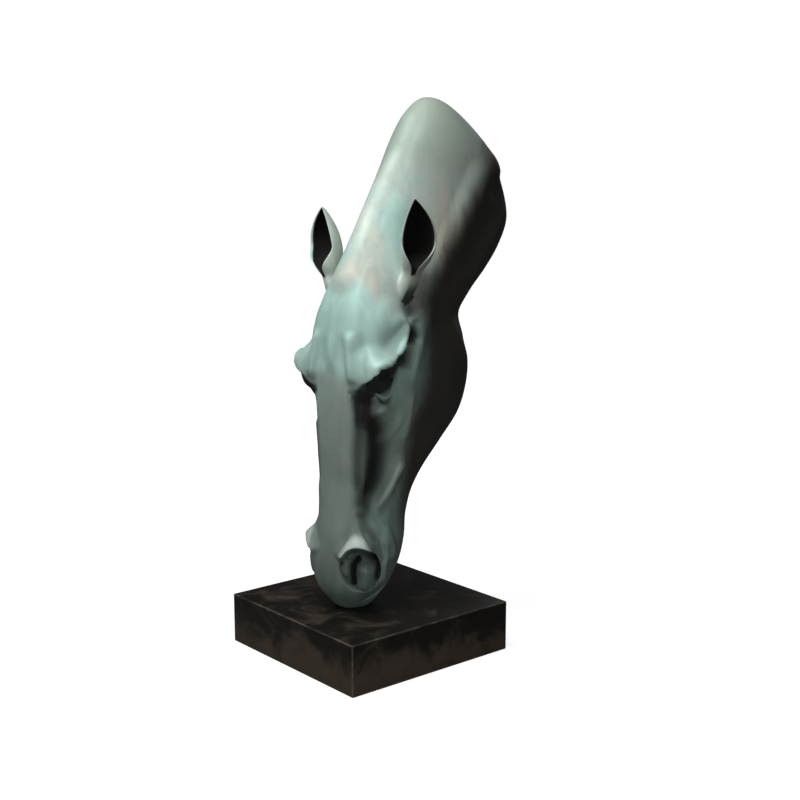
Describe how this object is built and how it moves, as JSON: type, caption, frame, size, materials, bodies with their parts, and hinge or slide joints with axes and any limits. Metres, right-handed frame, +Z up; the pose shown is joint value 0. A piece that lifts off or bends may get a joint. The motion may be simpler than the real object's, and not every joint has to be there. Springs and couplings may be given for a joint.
{
  "type": "horse head sculpture",
  "caption": "Cast bronze horse's head balanced on its lips, face down, with upright ears and a cut neck, on a square dark stone plinth.",
  "frame": {"origin": "centre of the plinth's underside", "axes": "+Z up, -Y the way the face looks, +X the horse's left; the head is turned 6 degrees from that towards +X"},
  "size_m": [0.36, 0.5076, 1.0003],
  "materials": {
    "patinated_bronze": "waxed green and brown patina, satin",
    "dark_stone": "honed, satin"
  },
  "bodies": {
    "root": {"horse_head": "patinated_bronze", "plinth": "dark_stone"}
  },
  "joints": []
}
